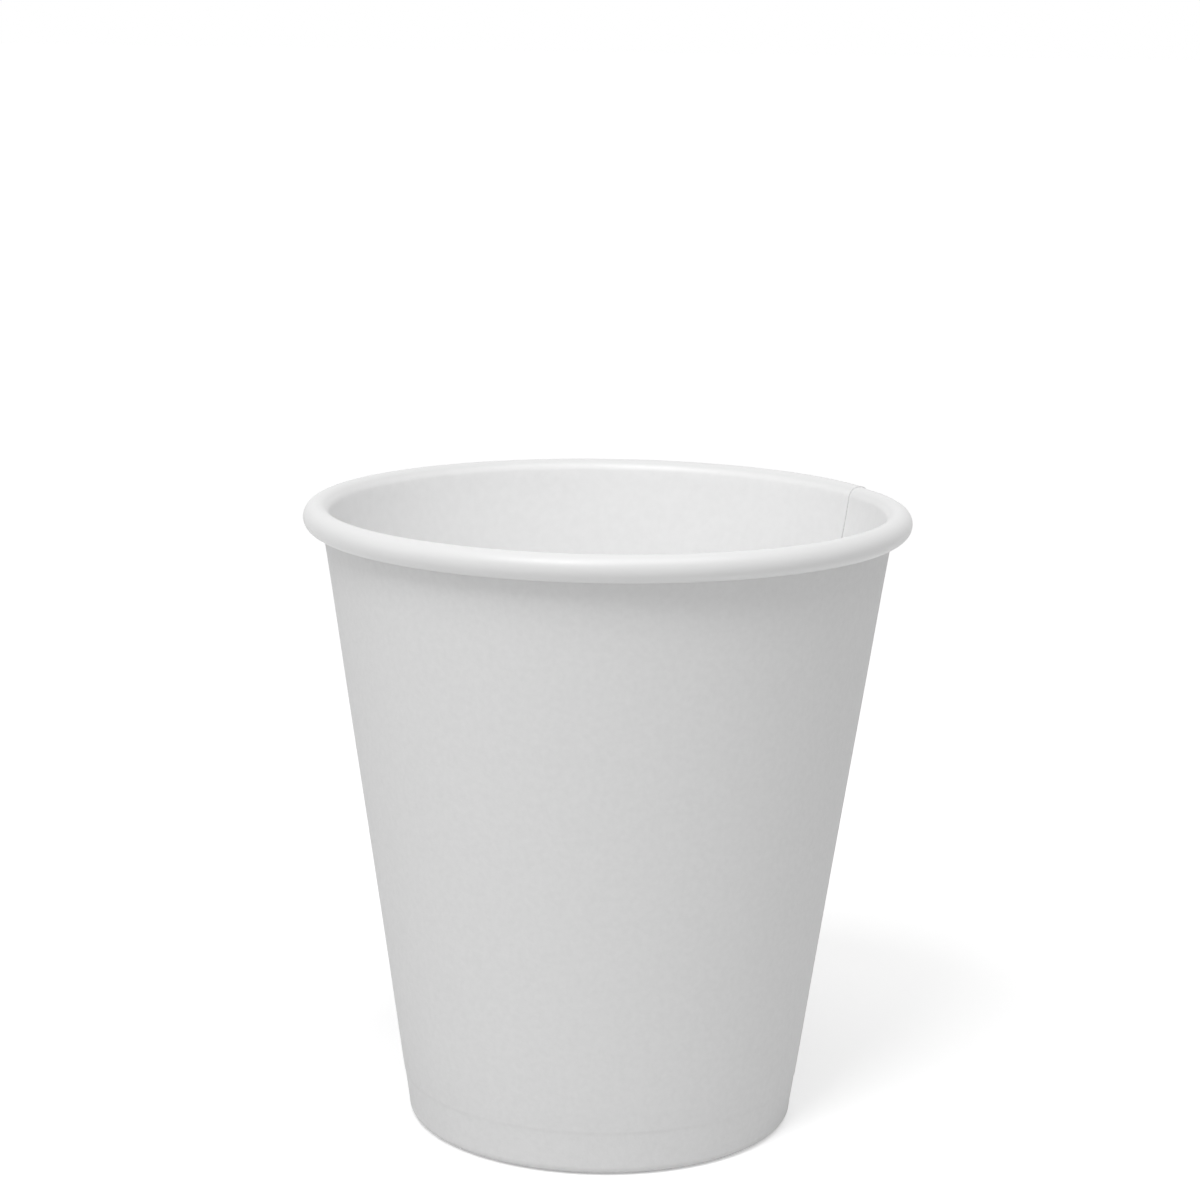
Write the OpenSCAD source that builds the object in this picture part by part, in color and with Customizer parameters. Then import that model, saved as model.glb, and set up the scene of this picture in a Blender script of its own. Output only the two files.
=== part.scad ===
// Insulated paper hot cup: a tapered wall of thick board, rolled out to a round lip at the
// mouth and folded in and up at the foot, where the fold grips the skirt of a recessed floor.
// Millimetres, +Z up. The origin is on the cup's axis, at the height of the table it stands on.

/* [Cup] */
// Height over all, from the table to the top of the lip
cup_h = 94; // [70:0.5:130]
// Diameter over the rolled lip
mouth_d = 90; // [80:0.5:100]
// Diameter of the wall at the foot
base_d = 58; // [50:0.5:66]

/* [Board] */
// Thickness of the insulated wall board
board_t = 1.2; // [0.8:0.1:1.5]
// Thickness of the floor board
floor_t = 0.5; // [0.3:0.05:0.8]

/* [Lip] */
// Diameter of the rolled lip, across its section
roll_d = 3.9; // [3.2:0.1:5]
// Thickness of the wall board where it is pressed into the roll
roll_t = 0.85; // [0.6:0.05:1]
// Gap between the raw edge of the roll and the wall beside it
roll_gap = 0.35; // [0.25:0.05:0.4]
// How far the roll stands into the cup, past the wall's inner face
roll_bead = 0.05; // [0.03:0.01:0.15]

/* [Foot] */
// Height of the open recess under the floor
recess_h = 8; // [7.5:0.5:12]
// Height of the fold that grips the skirt of the floor
hem_h = 6.8; // [4.5:0.1:6.9]
// Thickness of the wall board where it is pressed into the fold
hem_t = 0.9; // [0.85:0.05:1.2]
// Radius of the foot's outer corner, where the board turns under
foot_corner = 1.6; // [1:0.05:1.7]
// Radius of the foot's inner corner, where the board turns up again
hem_corner = 0.7; // [0.4:0.05:0.75]
// Outer radius of the bend between the floor and its skirt
floor_bend = 1.1; // [0.8:0.05:1.4]

/* [Side seam] */
// Width of the glued overlap
seam_w = 7; // [5:0.5:10]
// How far the outer layer's raw edge stands off the wall
seam_step = 0.5; // [0.45:0.05:0.6]
// How far the inner layer's raw edge stands into the cup
seam_step_in = 0.25; // [0.2:0.05:0.4]
// Angle over which each raised edge eases back into the round
seam_ease = 24; // [18:1:32]
// Side of the cup that carries the seam, as an angle from +X
seam_side = 20; // [0:5:355]

/* [Hidden] */
$fn = 144;

// Play under the skirt of the floor, in the bottom of the fold
skirt_play = 0.3;
// Straight steps in each corner arc
arc_steps = 8;
// Part of the easing angle by which a seam layer runs on inside the wall
ease_more = 0.25;

// Centre of the rolled lip in the section plane, where x is the radius and y the height
roll_r = roll_d / 2;
hollow_r = roll_r - roll_t;
roll_c = [mouth_d / 2 - roll_r, cup_h - roll_r];

// Lean of the wall: its outer face starts at the foot, and its inner face ends at the roll's side
base_r = base_d / 2;
reach = [roll_c[1], roll_c[0] - base_r];
lean = atan(reach[1] / reach[0]) + asin((board_t + roll_bead - roll_r) / norm(reach));
up_wall = [sin(lean), cos(lean)];
off_wall = [cos(lean), -sin(lean)];

// A point of the section: off is outwards from the wall's outer face, up is along the wall
function on_wall(off, up) = [base_r, 0] + off * off_wall + up * up_wall;
// How far up the wall a point lies that is off the outer face and at height z
function up_at(off, z) = (z + off * sin(lean)) / cos(lean);
// A point of the section at height z
function at_height(off, z) = on_wall(off, up_at(off, z));
// The points of an arc between two angles
function arc(centre, r, from, to) =
    [for (i = [0 : arc_steps]) let (a = from + (to - from) * i / arc_steps) centre + r * [cos(a), sin(a)]];

// Offsets of the board's faces: the wall's inner face, then the skirt's and the fold's
wall_in = -board_t;
skirt_in = wall_in - floor_t;
hem_in = skirt_in - hem_t;
roll_up = (roll_c - [base_r, 0]) * up_wall;

// The centres of the foot's two corner arcs, and the bottom of the slot for the skirt
corner_out = at_height(-foot_corner, foot_corner);
corner_in = at_height(hem_in + hem_corner, hem_corner);
slot_z = hem_t;
skirt_z = slot_z + skirt_play;

// The bend of the floor board, tangent to the wall's inner face and to the floor's top
bend_off = wall_in - floor_bend;
bend_z = recess_h + floor_t - floor_bend;
bend_up = up_at(bend_off, bend_z);
bend_c = on_wall(bend_off, bend_up);

// The seam, as angles round the cup at half its height
seam_angle = seam_w / (base_r + cup_h / 2 * tan(lean)) * 180 / PI;

// The board in one outline: round the fold, up the outside, down the inside and round the slot
module wall_section() {
    polygon(concat(
        arc(corner_out, foot_corner, -90, -lean),
        [
            on_wall(0, roll_up),
            on_wall(wall_in, roll_up),
            at_height(wall_in, slot_z),
            at_height(skirt_in, slot_z),
            at_height(skirt_in, hem_h),
            at_height(hem_in, hem_h)
        ],
        arc(corner_in, hem_corner, 180 - lean, 270)
    ));
}

// The board's upper end: rolled outwards and down until its raw edge is back beside the wall
module roll_section() {
    difference() {
        translate(roll_c) circle(r = roll_r);
        strip(wall_in / 2, roll_gap, roll_up - roll_d, roll_up - hollow_r / 2);
    }
}

module side_section() {
    difference() {
        union() {
            wall_section();
            roll_section();
        }
        translate(roll_c) circle(r = hollow_r);
    }
}

// A strip of board that follows the wall, between two offsets and two heights along it
module strip(off_a, off_b, up_a, up_b) {
    polygon([on_wall(off_a, up_a), on_wall(off_b, up_a), on_wall(off_b, up_b), on_wall(off_a, up_b)]);
}

// One layer of the overlap, from its raw edge to where it has eased back into the wall
module seam_layer(edge, step, off_a, off_b, up_a, up_b) {
    away = edge + seam_ease - 90;
    shift = step / sin(seam_ease);
    intersection() {
        translate([shift * cos(away), shift * sin(away), 0])
            rotate_extrude()
                strip(off_a, off_b, up_a, up_b);
        rotate([0, 0, edge])
            rotate_extrude(angle = seam_ease * (1 + ease_more))
                square([mouth_d, cup_h]);
    }
}

module sidewall() {
    color("white") union() {
        rotate_extrude() side_section();
        seam_layer(seam_side - seam_angle / 2, seam_step, wall_in * 0.7, 0,
            up_at(0, foot_corner), roll_up - (roll_r + hollow_r) / 2);
        seam_layer(seam_side + seam_angle / 2, -seam_step_in, wall_in, wall_in * 0.4,
            up_at(wall_in, recess_h + floor_t), roll_up - hollow_r / 2);
    }
}

// The floor board in one outline: under the floor, round the bend, down the skirt and back
module floor_section() {
    polygon(concat(
        [[0, recess_h + floor_t], [0, recess_h]],
        arc(bend_c, floor_bend - floor_t, 90, -lean),
        [at_height(skirt_in, skirt_z), at_height(wall_in, skirt_z)],
        arc(bend_c, floor_bend, -lean, 90)
    ));
}

module bottom_disc() {
    color("whitesmoke") rotate_extrude() floor_section();
}

sidewall();
bottom_disc();
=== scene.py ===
"""Insulated paper hot cup: the looks of its two sheets of board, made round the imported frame.

The side wall is one thick sheet: folded round the floor's skirt at the foot, glued along an
overlap and rolled outwards into the lip. The floor is a thinner disc with a turned-down skirt.
Each sheet's section is drawn as an outline and spun round the cup's axis. The laps of the seam,
the pressed marks of the foot and the small unevenness of board are then moved into the mesh.

Lengths are in metres and angles in radians, in the frame of the part, with +Z up.
"""

import logging
import math
from dataclasses import dataclass
from enum import IntEnum
from typing import Iterable, Sequence

import bmesh
import bpy
from mathutils import Matrix, Vector, noise

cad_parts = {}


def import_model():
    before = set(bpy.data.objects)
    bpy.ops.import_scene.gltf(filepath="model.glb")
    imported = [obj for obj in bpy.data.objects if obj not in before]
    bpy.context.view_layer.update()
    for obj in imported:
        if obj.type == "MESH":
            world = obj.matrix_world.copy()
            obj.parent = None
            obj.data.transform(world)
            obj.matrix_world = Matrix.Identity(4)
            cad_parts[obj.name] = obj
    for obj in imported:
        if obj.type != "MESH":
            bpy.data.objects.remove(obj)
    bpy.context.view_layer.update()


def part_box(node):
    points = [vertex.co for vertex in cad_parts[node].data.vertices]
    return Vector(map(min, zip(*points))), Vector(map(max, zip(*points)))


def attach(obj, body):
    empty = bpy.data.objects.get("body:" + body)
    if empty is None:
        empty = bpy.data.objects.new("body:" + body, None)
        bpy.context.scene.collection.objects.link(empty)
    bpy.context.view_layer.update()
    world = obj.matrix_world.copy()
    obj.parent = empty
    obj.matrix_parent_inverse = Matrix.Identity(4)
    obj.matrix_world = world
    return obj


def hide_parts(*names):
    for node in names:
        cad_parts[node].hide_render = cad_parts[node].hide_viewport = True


Socket = bpy.types.NodeSocket

LOG = logging.getLogger("hot_cup")
MM = 0.001
MERGE_DISTANCE = 0.001 * MM
ON_FACE = 0.02 * MM
FULL_TURN = 2 * math.pi
NOISE_DARK, NOISE_BRIGHT = 0.3, 0.7


def smooth_step(value: float, low: float, high: float) -> float:
    """Eases from 0 to 1 as a value goes from low to high.

    Args:
        value: The value to judge.
        low: Where the result leaves 0.
        high: Where the result reaches 1.

    Returns:
        The eased share, from 0 to 1.
    """
    share = min(max((value - low) / (high - low), 0.0), 1.0)
    return share * share * (3 - 2 * share)


class Side(IntEnum):
    """The faces of a sheet of board, in the order of a piece's material slots."""

    OUTER = 0
    COATED = 1
    CUT = 2


@dataclass(frozen=True)
class CupSizes:
    """The cup's sizes: its height, mouth and floor from the frame, the rest the board's own."""

    height: float
    mouth_radius: float
    floor_top: float
    base_radius: float = 29.0 * MM
    board: float = 1.2 * MM
    floor_board: float = 0.5 * MM
    roll_radius: float = 1.95 * MM
    roll_board: float = 0.85 * MM
    roll_gap: float = 0.35 * MM
    roll_bead: float = 0.05 * MM
    hem_height: float = 6.8 * MM
    hem_board: float = 0.9 * MM
    foot_corner: float = 1.6 * MM
    hem_corner: float = 0.7 * MM
    floor_bend: float = 1.1 * MM
    skirt_play: float = 0.3 * MM

    @classmethod
    def from_frame(cls) -> "CupSizes":
        """Reads what the frame knows of the cup from its nodes' boxes.

        Returns:
            The cup's sizes.
        """
        _, wall_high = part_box("sidewall")
        _, floor_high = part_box("bottom_disc")
        return cls(height=wall_high.z, mouth_radius=wall_high.x, floor_top=floor_high.z)

    @property
    def hollow_radius(self) -> float:
        """Radius of the hollow inside the rolled lip."""
        return self.roll_radius - self.roll_board

    @property
    def roll_centre(self) -> Vector:
        """Centre of the rolled lip in the section plane."""
        return Vector((self.mouth_radius - self.roll_radius, 0, self.height - self.roll_radius))

    @property
    def near_roll(self) -> float:
        """Distance up along the wall to a little short of the roll."""
        return self.wall_place(self.roll_centre)[1] - 3 * self.roll_radius

    @property
    def lean(self) -> float:
        """Works out the wall's lean: its outer face starts at the foot, its inner ends at the roll.

        Returns:
            The angle from upright.
        """
        rise = self.roll_centre.z
        run = self.roll_centre.x - self.base_radius
        inset = self.board + self.roll_bead - self.roll_radius
        return math.atan2(run, rise) + math.asin(inset / math.hypot(run, rise))

    @property
    def skirt_face(self) -> float:
        """Offset of the floor skirt's inner face from the wall's outer face."""
        return -self.board - self.floor_board

    @property
    def hem_face(self) -> float:
        """Offset of the fold's visible face from the wall's outer face."""
        return self.skirt_face - self.hem_board

    def on_wall(self, off: float, up: float) -> Vector:
        """Gives a point of the section.

        Args:
            off: Distance outwards from the wall's outer face.
            up: Distance up along the wall from its foot.

        Returns:
            The point in the plane of x and z.
        """
        out_x, out_z = math.cos(self.lean), -math.sin(self.lean)
        return Vector((self.base_radius + off * out_x - up * out_z, 0, off * out_z + up * out_x))

    def up_at(self, off: float, z: float) -> float:
        """Distance up along the wall of the point that is off the outer face and at height z."""
        return (z + off * math.sin(self.lean)) / math.cos(self.lean)

    def at_height(self, off: float, z: float) -> Vector:
        """Point of the section that is off the outer face and at height z."""
        return self.on_wall(off, self.up_at(off, z))

    @property
    def flat_middle(self) -> Vector:
        """Finds the middle of the narrow flat that the foot stands on.

        Returns:
            The point in the section plane.
        """
        outer = self.at_height(-self.foot_corner, self.foot_corner)
        inner = self.at_height(self.hem_face + self.hem_corner, self.hem_corner)
        return Vector(((outer.x + inner.x) / 2, 0, 0))

    def roll_drop(self, off: float, radius: float) -> float:
        """Gives how far below the roll's centre a circle round it crosses a line along the wall.

        Args:
            off: Distance of the line outwards from the wall's outer face.
            radius: Radius of the circle.

        Returns:
            The distance, along the wall.
        """
        across = self.wall_place(self.roll_centre)[0] - off
        return math.sqrt(radius**2 - across**2)

    def wall_place(self, point: Vector) -> tuple[float, float]:
        """Gives where a point lies on the wall.

        Args:
            point: Any point of a spun mesh.

        Returns:
            Its distance outwards from the outer face and its distance up along the wall.
        """
        run = math.hypot(point.x, point.y) - self.base_radius
        off = run * math.cos(self.lean) - point.z * math.sin(self.lean)
        return off, run * math.sin(self.lean) + point.z * math.cos(self.lean)


class SectionPen:
    """Draws a stretch of a board's outline in the plane of x and z, from point to point."""

    def __init__(self, sheet: bmesh.types.BMesh, start: Vector) -> None:
        """Puts the pen down.

        Args:
            sheet: The mesh to draw in.
            start: The first point.
        """
        self.sheet = sheet
        self.tip = bmesh.ops.create_vert(sheet, co=start)["vert"][0]

    def line(self, end: Vector, steps: int = 1) -> None:
        """Runs straight to a point.

        Args:
            end: Where the line ends.
            steps: Number of equal edges in it.
        """
        stride = (end - self.tip.co) / steps
        for _ in range(steps):
            drawn = bmesh.ops.extrude_vert_indiv(self.sheet, verts=[self.tip])["verts"]
            bmesh.ops.translate(self.sheet, verts=drawn, vec=stride)
            self.tip = drawn[0]

    def arc(self, centre: Vector, turn: float, steps: int) -> None:
        """Runs round a centre.

        Args:
            centre: Centre of the arc.
            turn: Angle of the arc, from +X towards +Z where it is positive.
            steps: Number of equal edges in it.
        """
        swept = bmesh.ops.spin(
            self.sheet, geom=[self.tip], cent=centre, axis=(0, -1, 0), angle=turn, steps=steps
        )
        self.tip = next(item for item in swept["geom_last"] if isinstance(item, bmesh.types.BMVert))


@dataclass(frozen=True)
class Run:
    """A run of mesh columns round the cup."""

    angle: float
    steps: int


class SpunBoard:
    """A sheet of board whose outline is drawn stretch by stretch and spun round the cup's axis."""

    def __init__(self, runs: Sequence[Run], first_angle: float = 0.0) -> None:
        """Starts an empty sheet.

        Args:
            runs: The runs of columns, which add up to a full turn.
            first_angle: Angle round +Z at which the first run starts.
        """
        self.mesh = bmesh.new()
        self.runs = runs
        self.first_angle = first_angle

    def stretch(self, drawing: bmesh.types.BMesh, side: Side) -> None:
        """Adds one spun stretch of outline.

        Args:
            drawing: The stretch, as edges in the plane of x and z. It is used up.
            side: The face of the board that the stretch shows.
        """
        profile = bpy.data.meshes.new("profile")
        drawing.to_mesh(profile)
        drawing.free()
        angle = self.first_angle
        for run in self.runs:
            gore = bmesh.new()
            gore.from_mesh(profile)
            turned = Matrix.Rotation(angle, 3, "Z")
            bmesh.ops.rotate(gore, verts=gore.verts[:], cent=(0, 0, 0), matrix=turned)
            bmesh.ops.spin(
                gore,
                geom=[*gore.verts, *gore.edges],
                cent=(0, 0, 0),
                axis=(0, 0, 1),
                angle=run.angle,
                steps=run.steps,
                use_merge=run.angle >= FULL_TURN,
            )
            for face in gore.faces:
                face.material_index = side
            swept = bpy.data.meshes.new("gore")
            gore.to_mesh(swept)
            gore.free()
            self.mesh.from_mesh(swept)
            bpy.data.meshes.remove(swept)
            angle += run.angle
        bpy.data.meshes.remove(profile)

    def close(self) -> bmesh.types.BMesh:
        """Merges the stretches into one closed skin with its faces outwards.

        Returns:
            The closed mesh.
        """
        bmesh.ops.remove_doubles(self.mesh, verts=self.mesh.verts[:], dist=MERGE_DISTANCE)
        bmesh.ops.recalc_face_normals(self.mesh, faces=self.mesh.faces[:])
        return self.mesh


@dataclass(frozen=True)
class Seam:
    """The glued overlap of the side wall: two raw edges that ease back into the round."""

    side: float = math.radians(20)
    width: float = 7 * MM
    outer_step: float = 0.5 * MM
    inner_step: float = 0.25 * MM
    lip_step: float = 0.2 * MM
    edge_width: float = 0.12 * MM
    ease: float = math.radians(24)

    def lap(self, sizes: CupSizes) -> float:
        """Angle of the overlap round the cup, at half its height."""
        return self.width / sizes.at_height(0, sizes.height / 2).x

    def edge_angle(self, sizes: CupSizes) -> float:
        """Angle of a raw edge's rounded corner round the cup."""
        return self.edge_width / sizes.at_height(0, sizes.height / 2).x

    def past_edge(self, angle: float, edge: float) -> float:
        """How far round +Z an angle lies past a raw edge, at most half a turn either way."""
        return (angle - edge + math.pi) % FULL_TURN - math.pi

    def rise(self, past: float, rounding: float) -> float:
        """Gives how far a layer stands off past its raw edge, as a share of its step.

        Args:
            past: Angle past the raw edge.
            rounding: Angle over which the raw edge rises.

        Returns:
            The share: 0 away from the lap, 1 at its raw edge.
        """
        if past <= 0 or past >= self.ease:
            return 0.0
        return smooth_step(past, 0, rounding) * math.sin(self.ease - past) / math.sin(self.ease)

    def sink(self, past: float, rounding: float) -> float:
        """Gives how far a layer lies back before the raw edge of the next, as a share of its step.

        Args:
            past: Angle past the raw edge.
            rounding: Angle over which the raw edge rises.

        Returns:
            The share: 1 at the foot of the raw edge, 0 away from it.
        """
        return self.rise(rounding - past, rounding)


@dataclass(frozen=True)
class Shader:
    """A small bench for wiring one material's nodes."""

    material: bpy.types.Material

    @classmethod
    def named(cls, name: str) -> "Shader":
        """Starts a material with an empty node tree.

        Args:
            name: Name of the material.

        Returns:
            Its bench.
        """
        material = bpy.data.materials.new(name)
        material.use_nodes = True
        material.node_tree.nodes.clear()
        return cls(material)

    def node(self, kind: str, **values: object) -> bpy.types.Node:
        """Adds a node.

        Args:
            kind: The node's type name.
            values: Values for the node's own properties.

        Returns:
            The new node.
        """
        made = self.material.node_tree.nodes.new(kind)
        for name, value in values.items():
            setattr(made, name, value)
        return made

    def join(self, source: Socket, target: Socket) -> None:
        """Links an output to an input."""
        self.material.node_tree.links.new(source, target)

    def place(self) -> Socket:
        """Output with the point's place on the cup, in metres."""
        return self.node("ShaderNodeTexCoord").outputs["Object"]

    def grain(self, place: Socket, size: float, detail: float) -> Socket:
        """Adds a noise of grains.

        Args:
            place: The coordinates to read.
            size: Width of a grain.
            detail: Levels of finer grain in it.

        Returns:
            The noise, from 0 to 1.
        """
        made = self.node("ShaderNodeTexNoise")
        made.inputs["Scale"].default_value = 1 / size
        made.inputs["Detail"].default_value = detail
        self.join(place, made.inputs["Vector"])
        return made.outputs["Fac"]

    def spread(self, source: Socket, low: float, high: float) -> Socket:
        """Spreads the middle of a noise over a range.

        Args:
            source: The noise.
            low: Result for its dark side.
            high: Result for its bright side.

        Returns:
            The spread value.
        """
        made = self.node("ShaderNodeMapRange")
        made.inputs["From Min"].default_value = NOISE_DARK
        made.inputs["From Max"].default_value = NOISE_BRIGHT
        made.inputs["To Min"].default_value = low
        made.inputs["To Max"].default_value = high
        self.join(source, made.inputs["Value"])
        return made.outputs["Result"]

    def relief(self, height: Socket, depth: float, below: Socket | None = None) -> Socket:
        """Adds a layer of relief.

        Args:
            height: The height map, from 0 to 1.
            depth: Its depth.
            below: The relief under it, where there is one.

        Returns:
            The normal of the surface with the relief.
        """
        made = self.node("ShaderNodeBump")
        made.inputs["Strength"].default_value = 1.0
        made.inputs["Distance"].default_value = depth
        self.join(height, made.inputs["Height"])
        if below is not None:
            self.join(below, made.inputs["Normal"])
        return made.outputs["Normal"]

    def mix(self, share: Socket, first: float | Socket, second: float) -> Socket:
        """Mixes two neutral whites.

        Args:
            share: Share of the second one.
            first: The first white, linear, or a colour that is mixed already.
            second: The second white, linear.

        Returns:
            The mixed colour.
        """
        made = self.node("ShaderNodeMix", data_type="RGBA")
        if isinstance(first, Socket):
            self.join(first, made.inputs["A"])
        else:
            made.inputs["A"].default_value = (first, first, first, 1)
        made.inputs["B"].default_value = (second, second, second, 1)
        self.join(share, made.inputs["Factor"])
        return made.outputs["Result"]

    def radius_share(self, place: Socket, start: float, end: float) -> Socket:
        """Eases from 0 to 1 between two radii round the cup's axis.

        Args:
            place: The coordinates to read.
            start: Radius where the result leaves 0.
            end: Radius where the result reaches 1.

        Returns:
            The eased share.
        """
        level = self.node("ShaderNodeVectorMath", operation="MULTIPLY")
        level.inputs[1].default_value = (1, 1, 0)
        self.join(place, level.inputs[0])
        radius = self.node("ShaderNodeVectorMath", operation="LENGTH")
        self.join(level.outputs["Vector"], radius.inputs[0])
        made = self.node("ShaderNodeMapRange", interpolation_type="SMOOTHSTEP")
        made.inputs["From Min"].default_value = start
        made.inputs["From Max"].default_value = end
        self.join(radius.outputs["Value"], made.inputs["Value"])
        return made.outputs["Result"]

    def board(
        self, colour: Socket, roughness: Socket, normal: Socket, gloss: float
    ) -> bpy.types.Material:
        """Ends the material with the board's surface.

        Args:
            colour: Colour of the surface.
            roughness: Roughness of the surface.
            normal: Normal with its relief.
            gloss: Strength of its plain reflections.

        Returns:
            The finished material.
        """
        surface = self.node("ShaderNodeBsdfPrincipled")
        surface.inputs["Specular IOR Level"].default_value = gloss
        self.join(colour, surface.inputs["Base Color"])
        self.join(roughness, surface.inputs["Roughness"])
        self.join(normal, surface.inputs["Normal"])
        output = self.node("ShaderNodeOutputMaterial")
        self.join(surface.outputs["BSDF"], output.inputs["Surface"])
        return self.material


@dataclass(frozen=True)
class BoardFinish:
    """The surface of one side of a sheet: a mottled white with fine grain and soft unevenness."""

    name: str
    shade: float
    light: float
    roughness: tuple[float, float]
    gloss: float
    grain_size: float
    grain_depth: float
    swell_size: float
    swell_depth: float
    mottle_size: float = 1.3 * MM
    mottle_detail: float = 3
    grain_detail: float = 4
    swell_detail: float = 1

    def colour(self, bench: Shader, place: Socket) -> Socket:
        """Mottles the white.

        Args:
            bench: The bench of the material.
            place: The coordinates to read.

        Returns:
            The colour.
        """
        mottle = bench.spread(bench.grain(place, self.mottle_size, self.mottle_detail), 0, 1)
        return bench.mix(mottle, self.shade, self.light)

    def material(self) -> bpy.types.Material:
        """Builds the finish.

        Returns:
            Its material.
        """
        bench = Shader.named(self.name)
        place = bench.place()
        grain = bench.grain(place, self.grain_size, self.grain_detail)
        swell = bench.grain(place, self.swell_size, self.swell_detail)
        return bench.board(
            colour=self.colour(bench, place),
            roughness=bench.spread(grain, *self.roughness),
            normal=bench.relief(grain, self.grain_depth, bench.relief(swell, self.swell_depth)),
            gloss=self.gloss,
        )


@dataclass(frozen=True)
class PaintedShadeLipFinish(BoardFinish):
    """A coated finish whose white turns softly into a darker white at the lip, which is painted
    shade: the lip is the same coated board as the inside.
    """

    # The lip's white is painted shade: darker than the inside's white of the same coated board.
    lip_painted_shade_white: float = 0.71
    fade_start: float = 40.95 * MM
    fade_end: float = 41.8 * MM

    def colour(self, bench: Shader, place: Socket) -> Socket:
        """Mottles the white and lets it turn into the lip's darker white, a painted shade.

        Args:
            bench: The bench of the material.
            place: The coordinates to read.

        Returns:
            The colour.
        """
        inside = super().colour(bench, place)
        # Darkens the white towards the lip's radius: painted shade on the lip.
        near_lip = bench.radius_share(place, self.fade_start, self.fade_end)
        return bench.mix(near_lip, inside, self.lip_painted_shade_white)


OUTER_BOARD = BoardFinish(
    name="matte_outer_board",
    shade=0.705,
    light=0.732,
    roughness=(0.70, 0.88),
    gloss=0.35,
    grain_size=0.35 * MM,
    grain_depth=0.020 * MM,
    swell_size=9 * MM,
    swell_depth=0.012 * MM,
    mottle_size=0.9 * MM,
)
COATED_BOARD = BoardFinish(
    name="coated_floor_board",
    shade=0.86,
    light=0.885,
    roughness=(0.36, 0.46),
    gloss=0.5,
    grain_size=0.5 * MM,
    grain_depth=0.006 * MM,
    swell_size=5 * MM,
    swell_depth=0.02 * MM,
)
# The inside's coated white, with painted shade on the lip.
COATED_INSIDE_PAINTED_SHADE_LIP = PaintedShadeLipFinish(
    name="coated_inside_painted_shade_lip",
    shade=0.86,
    light=0.885,
    roughness=(0.35, 0.45),
    gloss=0.5,
    grain_size=0.5 * MM,
    grain_depth=0.006 * MM,
    swell_size=5 * MM,
    swell_depth=0.018 * MM,
)
CUT_BOARD = BoardFinish(
    name="cut_board_edge",
    shade=0.60,
    light=0.72,
    roughness=(0.88, 0.98),
    gloss=0.25,
    grain_size=0.15 * MM,
    grain_depth=0.04 * MM,
    swell_size=0.8 * MM,
    swell_depth=0.04 * MM,
    mottle_size=0.3 * MM,
)
FLOOR_UNDERSIDE = BoardFinish(
    name="plain_floor_underside",
    shade=0.66,
    light=0.70,
    roughness=(0.82, 0.92),
    gloss=0.3,
    grain_size=0.25 * MM,
    grain_depth=0.015 * MM,
    swell_size=3 * MM,
    swell_depth=0.02 * MM,
)


class Piece:
    """One finished piece of the cup, in place of the frame's plain node."""

    def __init__(self, name: str, slot: str, node: str) -> None:
        """Names the piece.

        Args:
            name: Name of the piece.
            slot: Material slot of the record for the piece; not used.
            node: Node of the frame that it stands for.
        """
        self.name = name
        self.slot = slot
        self.node = node

    def stand(self, skin: bmesh.types.BMesh, finishes: Iterable[BoardFinish]) -> None:
        """Makes the piece of its mesh and hands it to the frame.

        Args:
            skin: The finished mesh. It is used up.
            finishes: One finish for each side of the board, in their order.
        """
        for face in skin.faces:
            face.smooth = True
        mesh = bpy.data.meshes.new(self.name)
        skin.to_mesh(mesh)
        skin.free()
        for finish in finishes:
            mesh.materials.append(finish.material())
        made = bpy.data.objects.new(self.name, mesh)
        bpy.context.scene.collection.objects.link(made)
        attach(made, "root")
        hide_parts(self.node)
        LOG.info("%s: %d faces", self.name, len(mesh.polygons))


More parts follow.
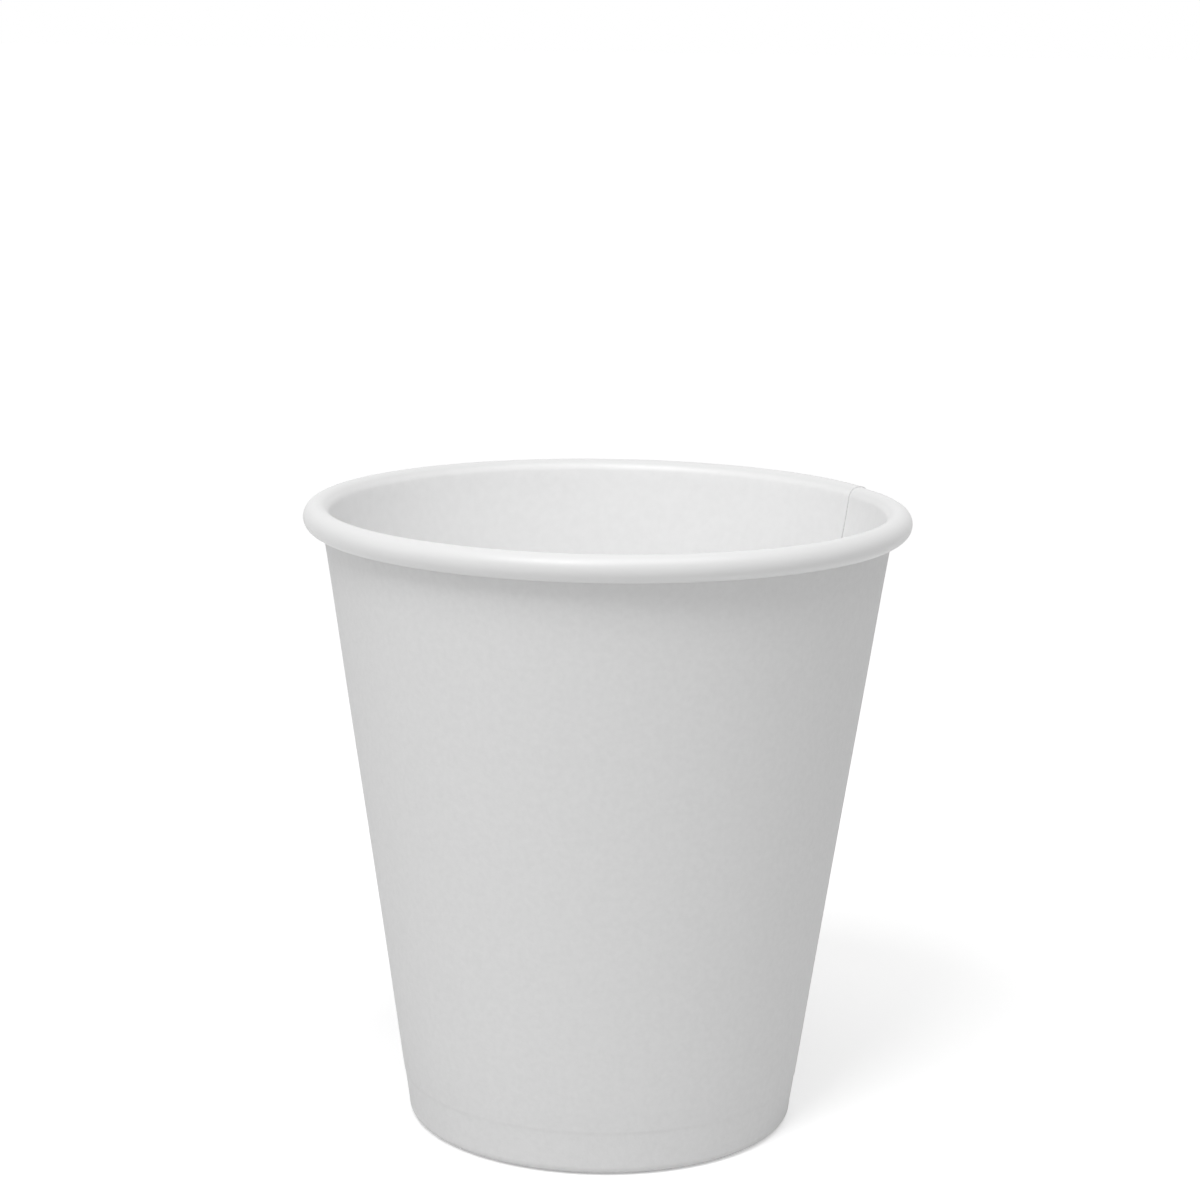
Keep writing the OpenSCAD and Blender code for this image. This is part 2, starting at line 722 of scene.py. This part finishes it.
@dataclass
class SideWall:
    """The side wall: one sheet of insulated board, from its fold at the foot to its rolled lip."""

    sizes: CupSizes
    seam: Seam
    columns: int = 432
    gores: int = 16
    edge_columns: int = 5
    foot_steps: int = 5
    corner_steps: int = 6
    wall_steps: int = 18
    near_roll_steps: int = 6
    roll_steps: int = 36
    hollow_steps: int = 16
    edge_steps: int = 2
    slot_steps: int = 3
    hem_steps: int = 14
    sharp_angle: float = math.radians(50)
    edge_round: float = 0.08 * MM
    edge_segments: int = 2
    lap_low: float = 0.6 * MM
    lap_full: float = 2.2 * MM
    lap_pressed: float = 0.55
    lap_floor_fade: float = 0.4 * MM
    lip_blend: float = 8 * MM
    raw_edge_low: float = 2 * MM
    raw_edge_steepness: float = 0.7
    ribs: int = 108
    rib_depth: float = 0.14 * MM
    rib_low: float = 1.6 * MM
    rib_high: float = 6.2 * MM
    rib_fade: float = 0.5 * MM
    press_low: float = 0.6 * MM
    press_full: float = 2 * MM
    press_height: float = 7.2 * MM
    press_depth: float = 0.08 * MM
    press_fade: float = 0.9 * MM
    wave_size: float = 26 * MM
    wave_depth: float = 0.10 * MM
    wave_top: tuple[float, float] = (12 * MM, 3 * MM)
    lip_wave_size: float = 7 * MM
    lip_wave_depth: float = 0.07 * MM
    lip_wave_top: tuple[float, float] = (5 * MM, 2 * MM)
    lip_wave_offset: Vector = Vector((5, 0, 0))

    def runs(self) -> list[Run]:
        """Lists the runs of columns: in fine steps over both raw edges, evenly between them.

        Returns:
            The runs, which add up to a full turn.
        """
        edge = self.seam.edge_angle(self.sizes)
        lap = self.seam.lap(self.sizes)
        gore = (FULL_TURN - lap - edge) / self.gores
        return [
            Run(edge, self.edge_columns),
            Run(lap - edge, round(self.columns * lap / FULL_TURN)),
            Run(edge, self.edge_columns),
            *[Run(gore, round(self.columns * gore / FULL_TURN))] * self.gores,
        ]

    def first_edge(self) -> float:
        """Angle round +Z where the outer layer's raw edge starts."""
        return self.seam.side - self.seam.lap(self.sizes) / 2

    def outer_stretch(self) -> bmesh.types.BMesh:
        """Draws the matte outer face: from the foot's flat up the wall into the roll's hollow.

        Returns:
            The stretch, as edges.
        """
        s = self.sizes
        corner = s.at_height(-s.foot_corner, s.foot_corner)
        off_centre, up_centre = s.wall_place(s.roll_centre)
        entry_drop = s.roll_drop(0, s.hollow_radius)
        exit_drop = s.roll_drop(s.roll_gap, s.hollow_radius)
        turn = FULL_TURN - math.atan2(off_centre, entry_drop)
        turn += math.atan2(off_centre - s.roll_gap, exit_drop)
        drawing = bmesh.new()
        pen = SectionPen(drawing, s.flat_middle)
        pen.line(Vector((corner.x, 0, 0)))
        pen.arc(corner, math.pi / 2 - s.lean, self.corner_steps)
        pen.line(s.at_height(0, self.press_height - self.press_fade), self.foot_steps)
        pen.line(s.at_height(0, self.press_height), self.foot_steps)
        pen.line(s.on_wall(0, s.near_roll), self.wall_steps)
        pen.line(s.on_wall(0, up_centre - entry_drop), self.near_roll_steps)
        pen.arc(s.roll_centre, -turn, self.hollow_steps)
        return drawing

    def roll_edge_stretch(self) -> bmesh.types.BMesh:
        """Draws the raw edge of the roll, which lies along the wall.

        Returns:
            The stretch, as edges.
        """
        s = self.sizes
        _, up_centre = s.wall_place(s.roll_centre)
        start = up_centre - s.roll_drop(s.roll_gap, s.hollow_radius)
        end = up_centre - s.roll_drop(s.roll_gap, s.roll_radius)
        drawing = bmesh.new()
        pen = SectionPen(drawing, s.on_wall(s.roll_gap, start))
        pen.line(s.on_wall(s.roll_gap, end), self.edge_steps)
        return drawing

    def lip_stretch(self) -> bmesh.types.BMesh:
        """Draws the lip: round the roll from its raw edge, over the top and to the inside.

        Returns:
            The stretch, as edges.
        """
        s = self.sizes
        off_centre, up_centre = s.wall_place(s.roll_centre)
        start_drop = s.roll_drop(s.roll_gap, s.roll_radius)
        turn = 3 * math.pi / 2 + math.atan2(off_centre - s.roll_gap, start_drop)
        drawing = bmesh.new()
        pen = SectionPen(drawing, s.on_wall(s.roll_gap, up_centre - start_drop))
        pen.arc(s.roll_centre, turn, self.roll_steps)
        return drawing

    def coated_stretch(self) -> bmesh.types.BMesh:
        """Draws the coated face: from the lip down the inside and round the slot of the fold.

        Returns:
            The stretch, as edges.
        """
        s = self.sizes
        off_centre, up_centre = s.wall_place(s.roll_centre)
        drawing = bmesh.new()
        pen = SectionPen(drawing, s.on_wall(off_centre - s.roll_radius, up_centre))
        pen.line(s.on_wall(-s.board, s.near_roll), self.near_roll_steps)
        pen.line(s.at_height(-s.board, s.floor_top), self.wall_steps)
        pen.line(s.at_height(-s.board, s.hem_board), self.slot_steps)
        pen.line(s.at_height(s.skirt_face, s.hem_board))
        pen.line(s.at_height(s.skirt_face, s.hem_height), self.slot_steps)
        return drawing

    def hem_edge_stretch(self) -> bmesh.types.BMesh:
        """Draws the raw edge on top of the fold.

        Returns:
            The stretch, as edges.
        """
        s = self.sizes
        drawing = bmesh.new()
        pen = SectionPen(drawing, s.at_height(s.skirt_face, s.hem_height))
        pen.line(s.at_height(s.hem_face, s.hem_height), self.edge_steps)
        return drawing

    def hem_stretch(self) -> bmesh.types.BMesh:
        """Draws the fold's visible face: down inside the foot and round to the foot's flat.

        Returns:
            The stretch, as edges.
        """
        s = self.sizes
        corner = s.at_height(s.hem_face + s.hem_corner, s.hem_corner)
        drawing = bmesh.new()
        pen = SectionPen(drawing, s.at_height(s.hem_face, s.hem_height))
        hem_foot = s.up_at(s.hem_face + s.hem_corner, s.hem_corner)
        pen.line(s.on_wall(s.hem_face, hem_foot), self.hem_steps)
        pen.arc(corner, math.pi / 2 + s.lean, self.corner_steps)
        pen.line(s.flat_middle)
        return drawing

    def skin(self) -> bmesh.types.BMesh:
        """Spins the whole outline and rounds its raw edges.

        Returns:
            The closed mesh of the sheet.
        """
        board = SpunBoard(self.runs(), self.first_edge())
        board.stretch(self.outer_stretch(), Side.OUTER)
        board.stretch(self.roll_edge_stretch(), Side.CUT)
        board.stretch(self.lip_stretch(), Side.COATED)
        board.stretch(self.coated_stretch(), Side.COATED)
        board.stretch(self.hem_edge_stretch(), Side.CUT)
        board.stretch(self.hem_stretch(), Side.OUTER)
        skin = board.close()
        sharp = [edge for edge in skin.edges if edge.calc_face_angle(0) > self.sharp_angle]
        bmesh.ops.bevel(
            skin,
            geom=sharp,
            offset=self.edge_round,
            segments=self.edge_segments,
            profile=0.5,
            affect="EDGES",
            material=-1,
            clamp_overlap=True,
        )
        return skin

    def outer_lap(self, point: Vector, angle: float) -> float:
        """Gives how far the seam's outer layer lifts a point of the outer face.

        Args:
            point: The point.
            angle: Its angle round +Z.

        Returns:
            The distance outwards.
        """
        s = self.sizes
        off, up = s.wall_place(point)
        if abs(off) > ON_FACE or point.z > s.roll_centre.z:
            return 0.0
        roll_foot = s.wall_place(s.roll_centre)[1] - s.roll_radius
        hidden = smooth_step(up, roll_foot - s.roll_radius, roll_foot)
        share = smooth_step(point.z, self.lap_low, self.lap_full) * (1 - self.lap_pressed * hidden)
        share *= 1 - smooth_step(up, roll_foot, roll_foot + s.roll_board)
        past = self.seam.past_edge(angle, self.first_edge())
        return self.seam.outer_step * share * self.seam.rise(past, self.seam.edge_angle(s))

    def inner_lap(self, point: Vector, angle: float) -> float:
        """Gives how far the seam's inner layer lifts a point of the inner face or of the lip.

        Args:
            point: The point.
            angle: Its angle round +Z.

        Returns:
            The distance off the surface.
        """
        s = self.sizes
        off, up = s.wall_place(point)
        off_centre, up_centre = s.wall_place(s.roll_centre)
        rounding = self.seam.edge_angle(s)
        past = self.seam.past_edge(angle, self.first_edge() + self.seam.lap(s))
        near_lip = smooth_step(up, up_centre - self.lip_blend, up_centre)
        if abs(math.hypot(off - off_centre, up - up_centre) - s.roll_radius) < ON_FACE:
            if off > off_centre:
                near_lip = smooth_step(up, up_centre - s.roll_radius, up_centre)
                return -self.seam.lip_step * near_lip * self.seam.sink(past, rounding)
        elif not -s.roll_bead - ON_FACE < off + s.board < ON_FACE:
            return 0.0
        share = smooth_step(point.z, s.floor_top - self.lap_floor_fade, s.floor_top)
        share *= 1 - near_lip
        rise = self.seam.inner_step * share * self.seam.rise(past, rounding)
        return rise - self.seam.lip_step * near_lip * self.seam.sink(past, rounding)

    def rib(self, point: Vector, angle: float) -> float:
        """Gives how far a pressed rib moves a point of the fold's visible face.

        Args:
            point: The point.
            angle: Its angle round +Z.

        Returns:
            The distance off the surface, never above 0.
        """
        s = self.sizes
        off, _ = s.wall_place(point)
        if abs(off - s.hem_face) > ON_FACE:
            return 0.0
        share = smooth_step(point.z, self.rib_low - self.rib_fade, self.rib_low)
        share *= 1 - smooth_step(point.z, self.rib_high, self.rib_high + self.rib_fade)
        return -self.rib_depth * share * (1 - math.cos(self.ribs * angle)) / 2

    def press(self, point: Vector) -> float:
        """Gives how far the clamping of the foot moves a point of the outer face.

        Args:
            point: The point.

        Returns:
            The distance off the surface, never above 0.
        """
        off, _ = self.sizes.wall_place(point)
        if abs(off) > ON_FACE:
            return 0.0
        share = smooth_step(point.z, self.press_low, self.press_full)
        share *= 1 - smooth_step(point.z, self.press_height - self.press_fade, self.press_height)
        return -self.press_depth * share

    def unevenness(self, point: Vector) -> Vector:
        """Gives the small unevenness of rolled board at a point.

        Args:
            point: The point.

        Returns:
            The shift, which is never outwards past the true round.
        """
        s = self.sizes
        out = Vector((point.x, point.y, 0)).normalized()
        place = out * s.mouth_radius + Vector((0, 0, point.z))
        wave = noise.noise(place / self.wave_size) - 1
        middle = smooth_step(point.z, s.floor_top, 3 * s.floor_top)
        middle *= 1 - smooth_step(point.z, *(s.height - drop for drop in self.wave_top))
        lip_wave = noise.noise(place / self.lip_wave_size + self.lip_wave_offset) - 1
        lip = smooth_step(point.z, *(s.height - drop for drop in self.lip_wave_top))
        shift = out * (0.5 * wave * self.wave_depth * middle)
        return shift + (out + Vector((0, 0, 1))) * (0.5 * lip_wave * self.lip_wave_depth * lip)

    def work(self, skin: bmesh.types.BMesh) -> None:
        """Moves the laps of the seam, the pressed marks and the unevenness into the mesh.

        Args:
            skin: The closed mesh of the sheet.
        """
        skin.normal_update()
        moves = []
        for vert in skin.verts:
            angle = math.atan2(vert.co.y, vert.co.x)
            lift = self.outer_lap(vert.co, angle) + self.inner_lap(vert.co, angle)
            lift += self.rib(vert.co, angle) + self.press(vert.co)
            moves.append(vert.normal * lift + self.unevenness(vert.co))
        for vert, move in zip(skin.verts, moves):
            vert.co += move

    def raw_seam_edges(self, skin: bmesh.types.BMesh) -> None:
        """Gives the raw edges of the two laps the look of cut board.

        Args:
            skin: The worked mesh of the sheet.
        """
        rounding = self.seam.edge_angle(self.sizes)
        edges = {
            Side.OUTER: self.first_edge(),
            Side.COATED: self.first_edge() + self.seam.lap(self.sizes),
        }
        for face in skin.faces:
            centre = face.calc_center_median()
            if face.material_index not in edges or centre.z <= self.raw_edge_low:
                continue
            angle = math.atan2(centre.y, centre.x)
            past = self.seam.past_edge(angle, edges[Side(face.material_index)])
            outwards = abs(face.normal.xy.dot(centre.xy)) / centre.xy.length
            if 0 < past < rounding and outwards < self.raw_edge_steepness:
                face.material_index = Side.CUT

    def build(self) -> None:
        """Makes the piece."""
        skin = self.skin()
        self.work(skin)
        skin.normal_update()
        self.raw_seam_edges(skin)
        # The coated side's finish has painted shade on the lip.
        finishes = (OUTER_BOARD, COATED_INSIDE_PAINTED_SHADE_LIP, CUT_BOARD)
        Piece("side_wall", "wall_board", "sidewall").stand(skin, finishes)


@dataclass
class FloorDisc:
    """The floor: a disc of thinner board, its edge turned down as the skirt that the fold grips."""

    sizes: CupSizes
    columns: int = 192
    rings: int = 14
    bend_steps: int = 6
    skirt_steps: int = 4
    wave_size: float = 15 * MM
    wave_depth: float = 0.30 * MM
    flat_rim: float = 4 * MM

    def skin(self) -> bmesh.types.BMesh:
        """Spins the disc's section: the coated top, the cut edge of the skirt and the underside.

        Returns:
            The closed mesh of the disc.
        """
        s = self.sizes
        top = s.floor_top
        under = s.floor_top - s.floor_board
        skirt_foot = s.hem_board + s.skirt_play
        bend_off = -s.board - s.floor_bend
        bend_z = top - s.floor_bend
        bend = s.at_height(bend_off, bend_z)
        turn = math.pi / 2 + s.lean
        board = SpunBoard([Run(FULL_TURN, self.columns)])

        upper = bmesh.new()
        pen = SectionPen(upper, Vector((0, 0, top)))
        pen.line(Vector((bend.x, 0, top)), self.rings)
        pen.arc(bend, -turn, self.bend_steps)
        pen.line(s.at_height(-s.board, skirt_foot), self.skirt_steps)
        board.stretch(upper, Side.COATED)

        foot = bmesh.new()
        pen = SectionPen(foot, s.at_height(-s.board, skirt_foot))
        pen.line(s.at_height(s.skirt_face, skirt_foot))
        board.stretch(foot, Side.CUT)

        lower = bmesh.new()
        pen = SectionPen(lower, Vector((0, 0, under)))
        pen.line(Vector((bend.x, 0, under)), self.rings)
        pen.arc(bend, -turn, self.bend_steps)
        pen.line(s.at_height(s.skirt_face, skirt_foot), self.skirt_steps)
        board.stretch(lower, Side.OUTER)
        return board.close()

    def sag(self, skin: bmesh.types.BMesh) -> None:
        """Gives the flat of the floor the small unevenness of thin board, never upwards.

        Args:
            skin: The closed mesh of the disc.
        """
        for vert in skin.verts:
            radius = vert.co.xy.length
            share = 1 - smooth_step(radius, self.flat_rim, self.sizes.base_radius - self.flat_rim)
            place = Vector((vert.co.x, vert.co.y, 0)) / self.wave_size
            vert.co.z += 0.5 * self.wave_depth * share * (noise.noise(place) - 1)

    def build(self) -> None:
        """Makes the piece."""
        skin = self.skin()
        self.sag(skin)
        finishes = (FLOOR_UNDERSIDE, COATED_BOARD, CUT_BOARD)
        Piece("floor_disc", "floor_board", "bottom_disc").stand(skin, finishes)


@dataclass(frozen=True)
class Lamp:
    """A soft square lamp that faces the cup."""

    name: str
    place: Vector
    size: float
    power: float

    def light(self, target: Vector) -> None:
        """Hangs the lamp.

        Args:
            target: The point that it faces.
        """
        data = bpy.data.lights.new(self.name, "AREA")
        data.shape = "SQUARE"
        data.size = self.size
        data.energy = self.power
        made = bpy.data.objects.new(self.name, data)
        made.location = self.place
        made.rotation_euler = (target - self.place).to_track_quat("-Z", "Y").to_euler()
        bpy.context.scene.collection.objects.link(made)


@dataclass
class Studio:
    """A white table and white surroundings, soft lamps and the camera."""

    sizes: CupSizes
    table_size: float = 24.0
    table_colour: float = 0.80
    table_glow: tuple[float, float] = (0.38, 0.70)
    glow_reach: tuple[float, float] = (0.15, 1.2)
    ambient: float = 0.43
    camera_distance: float = 0.430
    camera_height: float = 0.16509
    camera_pitch: float = math.radians(11.30)
    camera_pan: float = math.radians(0.13)
    camera_roll: float = math.radians(0.805)
    focal_pixels: float = 2942.4
    image_pixels: float = 1200.0
    sensor: float = 36.0
    table_gap: float = 0.02 * MM
    lamps: tuple[Lamp, ...] = (
        Lamp("key", Vector((-0.22, -0.44, 0.75)), 0.35, 3.37),
        Lamp("side", Vector((-0.75, -0.10, 0.30)), 0.50, 0.48),
        Lamp("top", Vector((0.18, -0.20, 0.83)), 0.50, 2.0),
    )

    def table(self) -> None:
        """Lays the table: it is white to the camera where no shadow falls, and keeps the shadow."""
        bench = Shader.named("white_table")
        ray = bench.node("ShaderNodeLightPath")
        glow = bench.node("ShaderNodeEmission")
        distance = bench.node("ShaderNodeVectorMath", operation="LENGTH")
        bench.join(bench.place(), distance.inputs[0])
        reach = bench.node("ShaderNodeMapRange")
        for name, value in zip(("From Min", "From Max"), self.glow_reach):
            reach.inputs[name].default_value = value
        for name, value in zip(("To Min", "To Max"), self.table_glow):
            reach.inputs[name].default_value = value
        bench.join(distance.outputs["Value"], reach.inputs["Value"])
        seen = bench.node("ShaderNodeMath", operation="MULTIPLY")
        bench.join(reach.outputs["Result"], seen.inputs[1])
        direct = bench.node("ShaderNodeMath", operation="MAXIMUM")
        bench.join(ray.outputs["Is Camera Ray"], direct.inputs[0])
        bench.join(ray.outputs["Is Glossy Ray"], direct.inputs[1])
        bench.join(direct.outputs[0], seen.inputs[0])
        bench.join(seen.outputs[0], glow.inputs["Strength"])
        paint = bench.node("ShaderNodeBsdfDiffuse")
        paint.inputs["Color"].default_value = (*(self.table_colour,) * 3, 1)
        both = bench.node("ShaderNodeAddShader")
        bench.join(glow.outputs[0], both.inputs[0])
        bench.join(paint.outputs[0], both.inputs[1])
        output = bench.node("ShaderNodeOutputMaterial")
        bench.join(both.outputs[0], output.inputs["Surface"])

        top = bmesh.new()
        bmesh.ops.create_grid(top, x_segments=2, y_segments=2, size=self.table_size / 2)
        bmesh.ops.translate(top, verts=top.verts[:], vec=(0, 0, -self.table_gap))
        mesh = bpy.data.meshes.new("table")
        top.to_mesh(mesh)
        top.free()
        mesh.materials.append(bench.material)
        made = bpy.data.objects.new("table", mesh)
        bpy.context.scene.collection.objects.link(made)

    def surroundings(self) -> None:
        """Makes the world: white to the camera and in reflections, a softer grey as light."""
        world = bpy.data.worlds.new("surroundings")
        bpy.context.scene.world = world
        world.use_nodes = True
        tree = world.node_tree
        tree.nodes.clear()
        ray = tree.nodes.new("ShaderNodeLightPath")
        seen = tree.nodes.new("ShaderNodeMath")
        seen.operation = "MAXIMUM"
        tree.links.new(ray.outputs["Is Camera Ray"], seen.inputs[0])
        tree.links.new(ray.outputs["Is Glossy Ray"], seen.inputs[1])
        strength = tree.nodes.new("ShaderNodeMapRange")
        strength.inputs["To Min"].default_value = self.ambient
        strength.inputs["To Max"].default_value = 1.0
        tree.links.new(seen.outputs[0], strength.inputs["Value"])
        sky = tree.nodes.new("ShaderNodeBackground")
        sky.inputs["Color"].default_value = (1, 1, 1, 1)
        tree.links.new(strength.outputs["Result"], sky.inputs["Strength"])
        output = tree.nodes.new("ShaderNodeOutputWorld")
        tree.links.new(sky.outputs[0], output.inputs["Surface"])

    def camera(self) -> None:
        """Sets up the camera at the photograph's viewing angle."""
        data = bpy.data.cameras.new("camera")
        data.sensor_width = self.sensor
        data.lens = self.sensor * self.focal_pixels / self.image_pixels
        data.clip_start = 10 * MM
        made = bpy.data.objects.new("camera", data)
        made.matrix_world = (
            Matrix.Translation((0, -self.camera_distance, self.camera_height))
            @ Matrix.Rotation(self.camera_pan, 4, "Z")
            @ Matrix.Rotation(math.pi / 2 - self.camera_pitch, 4, "X")
            @ Matrix.Rotation(self.camera_roll, 4, "Z")
        )
        bpy.context.scene.collection.objects.link(made)
        bpy.context.scene.camera = made

    def build(self) -> None:
        """Sets the whole studio."""
        bpy.context.scene.view_settings.view_transform = "Standard"
        self.table()
        self.surroundings()
        self.camera()
        for lamp in self.lamps:
            lamp.light(Vector((0, 0, self.sizes.height / 2)))
        LOG.info("studio: %d lamps", len(self.lamps))


def main() -> None:
    """Builds the studio and the cup's two pieces, sized from both frame nodes' boxes."""
    logging.basicConfig(level=logging.INFO, format="%(name)s: %(message)s")
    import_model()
    sizes = CupSizes.from_frame()
    Studio(sizes).build()
    SideWall(sizes, Seam()).build()
    FloorDisc(sizes).build()


if __name__ == "__main__":
    main()
